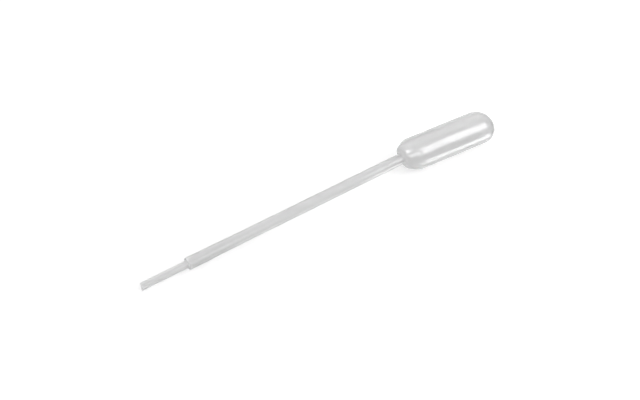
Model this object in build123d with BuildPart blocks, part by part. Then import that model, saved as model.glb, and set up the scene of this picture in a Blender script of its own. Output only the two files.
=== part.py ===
"""A disposable dropper pipette, blown in one piece from low-density polyethylene.

It lies on its side: the squeeze bulb is flat on the surface all along its length and the foot of
the stem touches ahead of it. Millimetres, +Z up, bulb axis along X with its domed end towards +X.
The origin is on the surface, under the middle of the pipette.
"""

import os
from math import asin, atan, atan2, cos, degrees, hypot, radians, sin, sqrt, tan

from build123d import *

os.makedirs("parts", exist_ok=True)

# Squeeze bulb
bulb_length = 41.5  # shoulder to the top of the dome
bulb_radius = 6.55
bulb_wall = 0.42
neck_fillet = 0.8
face_radius = 4.6  # the shoulder's steep face reaches from the neck out to here
face_rise = 0.9  # how far the face slopes back on its way out
face_round = 1.5
flank_length = 3.7  # from there a shallow cone widens to the bulb's side
flank_round = 5.0

# Stem
stem_length = 94.5  # shoulder of the bulb to the foot
stem_radius = 2.25
stem_wall = 0.62
foot_radius = 2.48  # the stem swells a little towards its lower end
foot_length = 22.0
foot_round = 0.5

# Fine tip
tip_length = 19.0
tip_radius = 1.5
tip_wall = 0.7
tip_fillet = 0.2
foot_floor = 0.7  # plastic left across the foot, where the bore narrows
bore_taper_length = 2.5
bore_round = 0.8
tip_cut_angle = 14.0  # the knife cuts the end a little aslant
offcut = 1.5  # how much further the tube runs as it leaves the mould

# Bend at the neck, where the soft plastic has taken a slight set
bend_from_shoulder = 2.2
bend_radius = 30.0
bend_sideways = 2.4  # degrees, towards -Y
bulb_skew = 7.5  # degrees that the bulb's shoulder and dome lean over, the way the neck bends

# Distances along the two axes, from the point where they cross
shoulder = bend_from_shoulder
dome_top = shoulder + bulb_length
dome_centre = dome_top - bulb_radius
foot_end = stem_length - bend_from_shoulder
foot_start = foot_end - foot_length
tip_end = foot_end + tip_length
bore_narrow = foot_end - foot_floor
bore_wide = bore_narrow - bore_taper_length

stem_bore = stem_radius - stem_wall
foot_bore = foot_radius - stem_wall
tip_bore = tip_radius - tip_wall

# The stem leans down until its foot's rounded edge or the end of the tip meets the surface
foot_ring = foot_radius - foot_round
foot_edge = foot_end - foot_round
height_to_fall = bulb_radius - foot_round
lean_to_foot = asin(height_to_fall / hypot(foot_edge, foot_ring)) - atan(foot_ring / foot_edge)
lean_to_tip = asin(bulb_radius / hypot(tip_end, tip_radius)) - atan(tip_radius / tip_end)
lean = min(lean_to_foot, lean_to_tip)
swing = radians(bend_sideways)

stem_dir = Vector(-cos(lean) * cos(swing), -cos(lean) * sin(swing), -sin(lean))
bend = atan2(hypot(stem_dir.Y, stem_dir.Z), -stem_dir.X)
bend_tangent = bend_radius * tan(bend / 2)

# The middle of the pipette's length is over the origin
skew = tan(radians(bulb_skew))
reach_to_dome = dome_centre + bulb_radius * sqrt(1 + skew**2)
reach_to_tip = tip_end * cos(bend) + tip_radius * sin(bend)
crossing = Vector((reach_to_tip - reach_to_dome) / 2, 0, bulb_radius)
bend_start = crossing + Vector(bend_tangent, 0, 0)
towards = Vector(0, stem_dir.Y, stem_dir.Z).normalized()
bulb_plane = Plane(origin=crossing, x_dir=(1, 0, 0), z_dir=(0, -1, 0))
stem_side = stem_dir.cross(Vector(0, 0, 1)).normalized()
stem_plane = Plane(origin=crossing, x_dir=stem_dir, z_dir=stem_side)

# The bulb and its root: an even wall, turned round the bulb's axis
slope = face_rise / (face_radius - stem_radius)
flare = (bulb_radius - face_radius) / flank_length
through_face = bulb_wall * sqrt(1 + slope**2)
through_flank = bulb_wall * sqrt(1 + flare**2)
face_end = shoulder + face_rise
flank_end = face_end + flank_length
inner_side = bulb_radius - bulb_wall
inner_neck = shoulder + through_face - stem_wall * slope
inner_face = face_radius + (through_face * flare - through_flank) / (1 - slope * flare)
inner_face_end = face_end + through_face + (inner_face - face_radius) * slope
inner_flank_end = flank_end + (through_flank - bulb_wall) / flare
root_start = bend_tangent - 2 * stem_radius * skew
with BuildPart() as bulb:
    with BuildSketch(bulb_plane) as bulb_section:
        with BuildLine():
            FilletPolyline(
                (root_start, stem_radius),
                (shoulder, stem_radius),
                (face_end, face_radius),
                (flank_end, bulb_radius),
                (dome_centre, bulb_radius),
                radius=[neck_fillet, face_round, flank_round],
            )
            CenterArc((dome_centre, 0), bulb_radius, 0, 90)
            Line((dome_top, 0), (dome_top - bulb_wall, 0))
            CenterArc((dome_centre, 0), inner_side, 0, 90)
            FilletPolyline(
                (dome_centre, inner_side),
                (inner_flank_end, inner_side),
                (inner_face_end, inner_face),
                (inner_neck, stem_bore),
                (root_start, stem_bore),
                radius=[flank_round - bulb_wall, face_round - bulb_wall, neck_fillet],
            )
            Line((root_start, stem_bore), (root_start, stem_radius))
        make_face()
    revolve(axis=Axis(crossing, (1, 0, 0)))

# The set that the soft bulb has taken slides its shoulder and dome along, farthest at the side
# that the neck bends to. The side wall between them stays a plain tube.
slide = towards * skew
set_of_bulb = Matrix([
    [1, slide.Y, slide.Z, -slide.Z * bulb_radius],
    [0, 1, 0, 0],
    [0, 0, 1, 0],
])
side_start = flank_end + flank_round / 2
side_end = dome_centre - 2 * bulb_radius * skew


def across(along):
    """The plane across the bulb at a distance along it, before the set."""
    return Plane(origin=crossing + Vector(along, 0, 0), z_dir=(1, 0, 0))


def across_with_set(along):
    """The same plane once the bulb has taken its set."""
    return Plane(origin=crossing + Vector(along, 0, 0), z_dir=Vector(1, 0, 0) - slide)


root = split(bulb.part, bisect_by=across(side_start), keep=Keep.BOTTOM)
dome = split(bulb.part, bisect_by=across(side_end), keep=Keep.TOP)
side = split(bulb.part, bisect_by=across_with_set(side_start), keep=Keep.TOP)
side = split(side, bisect_by=across_with_set(side_end), keep=Keep.BOTTOM)

with BuildPart() as pipette:
    add(root.transform_geometry(set_of_bulb))
    split(bisect_by=across(bend_tangent), keep=Keep.TOP)
    add(side)
    add(dome.transform_geometry(set_of_bulb))

    # The bend: the stem's ring section, turned through the small angle between the two axes
    bend_centre = bend_start + towards * bend_radius
    with BuildSketch(Plane(origin=bend_start, z_dir=(1, 0, 0))) as bend_section:
        Circle(stem_radius)
        Circle(stem_bore, mode=Mode.SUBTRACT)
    revolve(axis=Axis(bend_centre, towards.cross(Vector(1, 0, 0))), revolution_arc=degrees(bend))

    # The stem and the fine tip, turned round the stem's axis
    uncut_end = tip_end + offcut
    with BuildSketch(stem_plane) as stem_section:
        with BuildLine():
            Line((bend_tangent, stem_radius), (foot_start, stem_radius))
            FilletPolyline(
                (foot_start, stem_radius),
                (foot_end, foot_radius),
                (foot_end, tip_radius),
                (uncut_end, tip_radius),
                radius=[foot_round, tip_fillet],
            )
            Line((uncut_end, tip_radius), (uncut_end, tip_bore))
            FilletPolyline(
                (uncut_end, tip_bore),
                (bore_narrow, tip_bore),
                (bore_wide, foot_bore),
                (foot_start, stem_bore),
                radius=[bore_round, bore_round],
            )
            Line((foot_start, stem_bore), (bend_tangent, stem_bore))
            Line((bend_tangent, stem_bore), (bend_tangent, stem_radius))
        make_face()
    revolve(axis=Axis(crossing, stem_dir))

    # The knife's cut across the tip, its long side towards -Y
    cut_centre = crossing + stem_dir * tip_end
    cut_plane = Plane(origin=cut_centre, z_dir=stem_dir.rotate(Axis.Z, -tip_cut_angle))
    split(bisect_by=cut_plane, keep=Keep.BOTTOM)

pipette.part.label = "pipette"
export_step(pipette.part, "parts/pipette.step")
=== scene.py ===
"""A disposable dropper pipette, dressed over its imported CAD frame.

Metres, +Z up, in the frame's own axes: the bulb's axis lies along X with its domed end towards +X,
and the surface that the pipette lies on is z = 0.
"""

from math import asin, atan, atan2, cos, hypot, pi, radians, sin, sqrt, tan

import bmesh
import bpy
from mathutils import Matrix, Vector


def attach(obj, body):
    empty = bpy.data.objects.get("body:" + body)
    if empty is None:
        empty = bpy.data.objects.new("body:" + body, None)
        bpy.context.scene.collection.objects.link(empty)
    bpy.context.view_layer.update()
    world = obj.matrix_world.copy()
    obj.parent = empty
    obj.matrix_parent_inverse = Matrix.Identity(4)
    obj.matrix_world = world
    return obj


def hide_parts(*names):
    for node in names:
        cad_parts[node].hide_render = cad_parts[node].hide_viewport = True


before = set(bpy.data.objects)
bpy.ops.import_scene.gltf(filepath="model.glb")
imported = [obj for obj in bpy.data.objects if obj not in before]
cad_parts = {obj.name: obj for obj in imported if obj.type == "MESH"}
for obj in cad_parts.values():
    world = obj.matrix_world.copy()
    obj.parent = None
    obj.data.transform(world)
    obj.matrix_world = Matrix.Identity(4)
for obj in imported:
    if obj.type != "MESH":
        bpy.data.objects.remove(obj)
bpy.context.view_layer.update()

# ---------------------------------------------------------------------------------------------
# The pipette: squeeze bulb, neck, drawn stem and stepped fine tip, all one hollow piece of
# low-density polyethylene. A hot tube of it is blown in a mould, which leaves the bulb's wall
# thin and the stem's thicker, and a knife then cuts the tip open.

mm = 0.001

# Squeeze bulb
bulb_length = 41.5 * mm
bulb_radius = 6.55 * mm
bulb_wall = 0.42 * mm
neck_fillet = 0.8 * mm
face_radius = 4.6 * mm  # the shoulder's steep face reaches out to here
face_rise = 0.9 * mm
face_round = 1.5 * mm
flank_length = 3.7 * mm  # then a shallow cone widens to the side
flank_round = 5.0 * mm
bulb_skew = radians(7.5)

# Stem, which swells a little towards its foot
stem_length = 94.5 * mm
stem_radius = 2.25 * mm
stem_wall = 0.62 * mm
foot_radius = 2.48 * mm
foot_length = 22.0 * mm
foot_round = 0.5 * mm

# Fine tip, and the bore that narrows to it in the foot
tip_length = 19.0 * mm
tip_radius = 1.5 * mm
tip_wall = 0.7 * mm
tip_fillet = 0.2 * mm
foot_floor = 0.7 * mm
bore_taper_length = 2.5 * mm
bore_round = 0.8 * mm
tip_cut_angle = radians(14.0)
offcut = 1.5 * mm

# Bend at the neck
bend_from_shoulder = 2.2 * mm
bend_radius = 30.0 * mm
bend_sideways = radians(2.4)

# Distances along the two axes from the point where they cross, at the neck
shoulder = bend_from_shoulder
dome_top = shoulder + bulb_length
dome_centre = dome_top - bulb_radius
foot_end = stem_length - bend_from_shoulder
foot_start = foot_end - foot_length
tip_end = foot_end + tip_length
uncut_end = tip_end + offcut
bore_narrow = foot_end - foot_floor
bore_wide = bore_narrow - bore_taper_length

inner_side = bulb_radius - bulb_wall
stem_bore = stem_radius - stem_wall
foot_bore = foot_radius - stem_wall
tip_bore = tip_radius - tip_wall

# The stem leans down until the rounded edge of its foot meets the surface
foot_ring = foot_radius - foot_round
foot_edge = foot_end - foot_round
height_to_fall = bulb_radius - foot_round
lean = asin(height_to_fall / hypot(foot_edge, foot_ring)) - atan(foot_ring / foot_edge)
stem_dir = Vector((
    -cos(lean) * cos(bend_sideways),
    -cos(lean) * sin(bend_sideways),
    -sin(lean),
))
bend = atan2(hypot(stem_dir.y, stem_dir.z), -stem_dir.x)
bend_tangent = bend_radius * tan(bend / 2)
skew = tan(bulb_skew)
reach_to_dome = dome_centre + bulb_radius * sqrt(1 + skew**2)
reach_to_tip = tip_end * cos(bend) + tip_radius * sin(bend)
crossing = Vector(((reach_to_tip - reach_to_dome) / 2, 0, bulb_radius))

# Section of the wall, as corners (along the axis, out from it, radius of the rounding there)
slope = face_rise / (face_radius - stem_radius)
flare = (bulb_radius - face_radius) / flank_length
through_face = bulb_wall * sqrt(1 + slope**2)
through_flank = bulb_wall * sqrt(1 + flare**2)
face_end = shoulder + face_rise
flank_end = face_end + flank_length
inner_neck = shoulder + through_face - stem_wall * slope
inner_face = face_radius + (through_face * flare - through_flank) / (1 - slope * flare)
inner_face_end = face_end + through_face + (inner_face - face_radius) * slope
inner_flank_end = flank_end + (through_flank - bulb_wall) / flare
outside = [
    (dome_centre, bulb_radius, 0),
    (flank_end, bulb_radius, flank_round),
    (face_end, face_radius, face_round),
    (shoulder, stem_radius, neck_fillet),
    (-foot_start, stem_radius, 0),
    (-foot_end, foot_radius, foot_round),
    (-foot_end, tip_radius, tip_fillet),
    (-uncut_end, tip_radius, 0),
]
inside = [
    (-uncut_end, tip_bore, 0),
    (-bore_narrow, tip_bore, bore_round),
    (-bore_wide, foot_bore, bore_round),
    (-foot_start, stem_bore, 0),
    (inner_neck, stem_bore, neck_fillet),
    (inner_face_end, inner_face, face_round - bulb_wall),
    (inner_flank_end, inner_side, flank_round - bulb_wall),
    (dome_centre, inner_side, 0),
]

fewest_segments = 3
segments_per_radian = 10


def draw_wall(bm, corners):
    """Draws one side of the wall's section, rounds its corners and returns its two ends."""
    line = [bm.verts.new((along, 0, out)) for along, out, rounding in corners]
    for start, end in zip(line, line[1:]):
        bm.edges.new((start, end))
    rounded = []
    for number, (along, out, rounding) in enumerate(corners):
        if rounding:
            before, here, after = line[number - 1 : number + 2]
            turn = (here.co - before.co).angle(after.co - here.co)
            segments = max(fewest_segments, round(turn * segments_per_radian))
            rounded.append((here, rounding * tan(turn / 2), segments))
    for here, tangent, segments in rounded:
        bmesh.ops.bevel(
            bm,
            geom=[here],
            offset=tangent,
            offset_type="OFFSET",
            segments=segments,
            profile=0.5,
            affect="VERTICES",
            clamp_overlap=False,
            material=-1,
        )
    return line[0], line[-1]


bm = bmesh.new()
outer_start, _ = draw_wall(bm, outside)
_, inner_start = draw_wall(bm, inside)

# A quarter turn at the bulb's end of each side draws the dome
dome_steps = 24
for start in (outer_start, inner_start):
    bmesh.ops.spin(
        bm,
        geom=[start],
        cent=(dome_centre, 0, 0),
        axis=(0, 1, 0),
        angle=pi / 2,
        steps=dome_steps,
    )
longest_step = 1.5 * mm
for edge in bm.edges[:]:
    cuts = int(edge.calc_length() / longest_step)
    if cuts:
        bmesh.ops.subdivide_edges(bm, edges=[edge], cuts=cuts)

# The section is turned round the axis, and the two poles of the dome are closed
around = 128
weld_distance = 0.0002 * mm
bmesh.ops.spin(
    bm,
    geom=bm.verts[:] + bm.edges[:],
    cent=(0, 0, 0),
    axis=(1, 0, 0),
    angle=2 * pi,
    steps=around,
    use_merge=True,
)
bmesh.ops.remove_doubles(bm, verts=bm.verts[:], dist=weld_distance)

# The soft bulb has taken a set: its shoulder and dome lean over the way that the neck bends
towards = Vector((0, stem_dir.y, stem_dir.z)).normalized()
set_of_bulb = Matrix.Identity(4)
set_of_bulb[0].yz = skew * towards.y, skew * towards.z
bmesh.ops.transform(
    bm,
    matrix=set_of_bulb,
    verts=[v for v in bm.verts if v.co.x > bend_tangent],
)

# The stem is set over at the neck, one small turn at a time, the farthest first
bend_steps = 8
cut_tolerance = 0.0001 * mm
step_length = 2 * bend_tangent / bend_steps
bend_axis = Vector((-1, 0, 0)).cross(stem_dir).normalized()
for step in range(bend_steps + 1):
    bmesh.ops.bisect_plane(
        bm,
        geom=bm.verts[:] + bm.edges[:] + bm.faces[:],
        dist=cut_tolerance,
        plane_co=(step * step_length - bend_tangent, 0, 0),
        plane_no=(1, 0, 0),
    )
for step in range(bend_steps):
    hinge = (step + 0.5) * step_length - bend_tangent
    bmesh.ops.rotate(
        bm,
        verts=[v for v in bm.verts if v.co.x < hinge],
        cent=(hinge, 0, 0),
        matrix=Matrix.Rotation(bend / bend_steps, 3, bend_axis),
    )
bmesh.ops.translate(bm, verts=bm.verts[:], vec=crossing)

# The knife's cut across the tip, a little aslant
cut_centre = crossing + stem_dir * tip_end
cut_normal = Matrix.Rotation(-tip_cut_angle, 3, "Z") @ stem_dir
cut = bmesh.ops.bisect_plane(
    bm,
    geom=bm.verts[:] + bm.edges[:] + bm.faces[:],
    dist=cut_tolerance,
    plane_co=cut_centre,
    plane_no=cut_normal,
    clear_outer=True,
)
rims = [e for e in cut["geom_cut"] if isinstance(e, bmesh.types.BMEdge)]
bmesh.ops.triangle_fill(bm, edges=rims, use_beauty=True)
for rim in rims:
    rim.smooth = False

bmesh.ops.recalc_face_normals(bm, faces=bm.faces[:])
for face in bm.faces:
    face.smooth = True
mesh = bpy.data.meshes.new("pipette_wall")
bm.to_mesh(mesh)
bm.free()
pipette = bpy.data.objects.new("dropper_pipette", mesh)
bpy.context.scene.collection.objects.link(pipette)


def add(tree, kind, links=(), **settings):
    """Adds a node, sets its named sockets or properties and links (socket, source) pairs."""
    node = tree.nodes.new(kind)
    for name, value in settings.items():
        socket = node.inputs.get(name.replace("_", " "))
        if socket is None:
            setattr(node, name, value)
        else:
            socket.default_value = value
    for name, source in links:
        tree.links.new(source, node.inputs[name])
    return node


def srgb(code):
    """An sRGB hex colour as the linear colour that shaders take."""
    channels = [int(code[i : i + 2], 16) / 255 for i in (1, 3, 5)]
    linear = [c / 12.92 if c <= 0.04045 else ((c + 0.055) / 1.055) ** 2.4 for c in channels]
    return (*linear, 1.0)


def bare_tree(owner):
    """The node tree of a new material or world, with nothing in it."""
    owner.use_nodes = True
    owner.node_tree.nodes.clear()
    return owner.node_tree


# Natural low-density polyethylene, blow-moulded: no pigment, a milky haze in the wall, and the
# waxy gloss that a polished mould and air pressure leave. The haze gathers in faint clouds and
# is a little denser in the stem, where the wall is thicker. The drawn melt leaves shallow waves
# and lines along the pipette, so that highlights waver softly. Real lines lie about 0.3 mm
# apart; these are drawn four times as coarse, or they wouldn't show.
ldpe = bpy.data.materials.new("natural_ldpe_blow_moulded")
tree = bare_tree(ldpe)
place = add(tree, "ShaderNodeTexCoord").outputs["Object"]


def flow(across, along, detail):
    """Noise drawn out along the pipette: 0 to 1, with the size of its grain each way."""
    drawn = add(
        tree,
        "ShaderNodeMapping",
        Scale=(1 / along, 1 / across, 1 / across),
        links=[("Vector", place)],
    )
    return add(
        tree,
        "ShaderNodeTexNoise",
        Scale=1.0,
        Detail=detail,
        links=[("Vector", drawn.outputs["Vector"])],
    ).outputs["Fac"]


clouds = flow(across=5.0 * mm, along=14.0 * mm, detail=2.0)
waves = flow(across=4.0 * mm, along=9.0 * mm, detail=1.0)
lines = flow(across=1.2 * mm, along=40.0 * mm, detail=2.0)

# The wall thins from the neck to the bulb's side, and clouds come on top of that
lengthwise = add(tree, "ShaderNodeSeparateXYZ", links=[("Vector", place)]).outputs["X"]
thinness = add(
    tree,
    "ShaderNodeMapRange",
    From_Min=crossing.x - bend_tangent,
    From_Max=crossing.x + flank_end,
    To_Min=0.0,
    To_Max=0.75,
    links=[("Value", lengthwise)],
).outputs["Result"]
cloud_strength = 0.4
clearness = add(tree, "ShaderNodeMath", operation="MULTIPLY_ADD", links=[(0, clouds), (2, thinness)])
clearness.inputs[1].default_value = cloud_strength
haze = add(tree, "ShaderNodeValToRGB", links=[("Fac", clearness.outputs[0])])
haze.color_ramp.elements[0].color = srgb("#F4F4F4")
haze.color_ramp.elements[1].color = srgb("#F9F9F9")

# Gloss a little duller on the lines, and both reliefs in the skin
sheen = add(
    tree, "ShaderNodeMapRange", To_Min=0.28, To_Max=0.34, links=[("Value", lines)]
).outputs["Result"]
waviness = add(tree, "ShaderNodeBump", Distance=0.12 * mm, links=[("Height", waves)])
lined = add(
    tree,
    "ShaderNodeBump",
    Distance=0.012 * mm,
    links=[("Height", lines), ("Normal", waviness.outputs["Normal"])],
)
shader = add(
    tree,
    "ShaderNodeBsdfPrincipled",
    IOR=1.51,
    Coat_Weight=1.0,
    Coat_Roughness=0.08,
    Coat_IOR=1.51,
    Transmission_Weight=0.85,
    links=[
        ("Base Color", haze.outputs["Color"]),
        ("Roughness", sheen),
        ("Normal", lined.outputs["Normal"]),
        ("Coat Normal", lined.outputs["Normal"]),
    ],
)
add(tree, "ShaderNodeOutputMaterial", links=[("Surface", shader.outputs["BSDF"])])
mesh.materials.append(ldpe)

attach(pipette, "root")
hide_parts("pipette")

# ---------------------------------------------------------------------------------------------
# The table: one wide sheet of matt white board. The key lamp and the room light it, and it takes
# the pipette's faint shadow. What the camera sees of it is lifted to plain white.


def flat_sheet(name, length, width, material):
    """A flat rectangle that faces up."""
    bm = bmesh.new()
    bmesh.ops.create_grid(bm, x_segments=1, y_segments=1, size=0.5)  # half a side
    bmesh.ops.scale(bm, vec=(length, width, 1), verts=bm.verts[:])
    mesh = bpy.data.meshes.new(name)
    bm.to_mesh(mesh)
    bm.free()
    mesh.materials.append(material)
    sheet = bpy.data.objects.new(name, mesh)
    bpy.context.scene.collection.objects.link(sheet)
    return sheet


def background_rays(tree):
    """1 for what the camera sees, straight or in or through another thing, 0 for light."""
    path = add(tree, "ShaderNodeLightPath").outputs
    mirrored = add(
        tree,
        "ShaderNodeMath",
        operation="MAXIMUM",
        links=[(0, path["Is Glossy Ray"]), (1, path["Is Transmission Ray"])],
    )
    seen = add(
        tree,
        "ShaderNodeMath",
        operation="MAXIMUM",
        links=[(0, path["Is Camera Ray"]), (1, mirrored.outputs[0])],
    )
    return seen.outputs[0]


white = srgb("#FFFFFF")
board_glow = 0.4
board = bpy.data.materials.new("matt_white_board")
tree = bare_tree(board)
paper = add(tree, "ShaderNodeBsdfDiffuse", Color=srgb("#F3F3F3"))
lift = add(tree, "ShaderNodeMath", operation="MULTIPLY", links=[(0, background_rays(tree))])
lift.inputs[1].default_value = board_glow
glow = add(tree, "ShaderNodeEmission", Color=white, links=[("Strength", lift.outputs[0])])
lit = add(tree, "ShaderNodeAddShader", links=[(0, paper.outputs[0]), (1, glow.outputs[0])])
add(tree, "ShaderNodeOutputMaterial", links=[("Surface", lit.outputs[0])])

table_size = 4.0
table = flat_sheet("table", table_size, table_size, board)

# Two lamps shine up through the table: it doesn't shade them, and mirrors see past it
table.visible_shadow = False
table.visible_glossy = False

# ---------------------------------------------------------------------------------------------
# The studio: a white room with soft boxes and black cards in it. A waxy skin takes its look from
# what it mirrors, so each of them hangs where one face of the pipette mirrors it. The key lamp
# and the room light everything; the other lamps are there for their highlights alone.

room_level = 0.7
backdrop_level = 1.0
world = bpy.data.worlds.new("white_studio")
bpy.context.scene.world = world
tree = bare_tree(world)
room = add(tree, "ShaderNodeBackground", Color=white, Strength=room_level)
backdrop = add(tree, "ShaderNodeBackground", Color=white, Strength=backdrop_level)
surroundings = add(
    tree,
    "ShaderNodeMixShader",
    links=[(0, background_rays(tree)), (1, room.outputs[0]), (2, backdrop.outputs[0])],
)
add(tree, "ShaderNodeOutputWorld", links=[("Surface", surroundings.outputs[0])])


def front(degrees_up):
    """The way to something that stands in front of the bulb, abreast of it."""
    return Vector((0, -cos(radians(degrees_up)), sin(radians(degrees_up))))


def hang(thing, along, direction, distance):
    """Faces a flat thing to the place that far along X on the bulb's axis."""
    thing.location = Vector((along, 0, bulb_radius)) + direction * distance
    thing.rotation_euler = direction.to_track_quat("Z", "Y").to_euler()


def soft_box(name, along, direction, distance, length, width, radiance):
    """A soft box whose face has the given radiance."""
    lamp = bpy.data.lights.new(name, "AREA")
    lamp.shape = "RECTANGLE"
    lamp.size, lamp.size_y = length, width
    lamp.energy = radiance * pi * length * width
    box = bpy.data.objects.new(name, lamp)
    box.visible_camera = False
    hang(box, along, direction, distance)
    bpy.context.scene.collection.objects.link(box)
    return box


velvet = bpy.data.materials.new("black_velvet")
tree = bare_tree(velvet)
pile = add(tree, "ShaderNodeBsdfDiffuse", Color=srgb("#000000"))
add(tree, "ShaderNodeOutputMaterial", links=[("Surface", pile.outputs[0])])


def black_card(name, along, direction, distance, length, width):
    """A black card, which shows only where something mirrors it."""
    card = flat_sheet(name, length, width, velvet)
    for ray in ("camera", "diffuse", "transmission", "shadow"):
        setattr(card, "visible_" + ray, False)
    hang(card, along, direction, distance)


# The key lamp: a broad band along the upper side of the bulb
soft_box("key", 0.40, front(42.6), distance=0.50, length=0.29, width=0.40, radiance=3.6)
# From under the table: a thin line low along the bulb, and farther off, one on its shoulder alone
low = soft_box("low", 0.2775, front(-42.0), distance=0.30, length=0.205, width=0.15, radiance=3.2)
root_low = soft_box(
    "root_low", 0.40, front(-45.0), distance=2.00, length=0.40, width=0.8, radiance=3.4
)
# A long lamp beside the stem: a short band across the shoulder, and some light along the foot
fill = soft_box("fill", -0.155, front(31.0), distance=0.50, length=0.61, width=0.18, radiance=3.2)
# Almost overhead, small and bright: the spot on the shoulder
spot = soft_box("spot", -0.35, front(82.0), distance=0.50, length=0.18, width=0.20, radiance=10.0)
for box in (low, root_low, fill, spot):
    box.visible_diffuse = False
    box.visible_transmission = False

# Black round the key lamp's band, between it and the line below, and under the tip and the foot
black_card("card_behind_key", 0.05, front(45.0), distance=0.52, length=1.3, width=1.3)
black_card("card_in_front", 0.03, front(-13.0), distance=0.55, length=1.26, width=0.26)
black_card("card_under_tip", -0.07, front(-30.0), distance=0.05, length=0.10, width=0.15)
# Black past the dome, 25 degrees off the bulb's axis, which gives the dome its dark rim
past_the_dome = Vector((0.906, -0.423, 0))
black_card("card_at_the_end", 0.07, past_the_dome, distance=2.0, length=2.8, width=2.8)

# ---------------------------------------------------------------------------------------------
# The camera: a short telephoto lens, 0.6 m away. It stands in front of the pipette, nearer to its
# tip than to its bulb, and looks down on it.

view_azimuth = radians(30.81)
view_elevation = radians(44.0)
distance = 0.600
aim_above = 1.80 * mm
aim_left = 0.33 * mm
to_camera = Vector((
    -sin(view_azimuth) * cos(view_elevation),
    -cos(view_azimuth) * cos(view_elevation),
    sin(view_elevation),
))
forward = -to_camera
right = Vector((cos(view_azimuth), -sin(view_azimuth), 0))
up = right.cross(forward)
camera = bpy.data.cameras.new("camera")
camera.sensor_width = 36.0
camera.lens = 89.7
camera.clip_start = 0.01
camera.clip_end = 20.0
camera_object = bpy.data.objects.new("camera", camera)
camera_object.location = to_camera * distance + up * aim_above - right * aim_left
camera_object.rotation_euler = forward.to_track_quat("-Z", "Y").to_euler()
bpy.context.scene.collection.objects.link(camera_object)
bpy.context.scene.camera = camera_object

bpy.context.scene.view_settings.view_transform = "Standard"
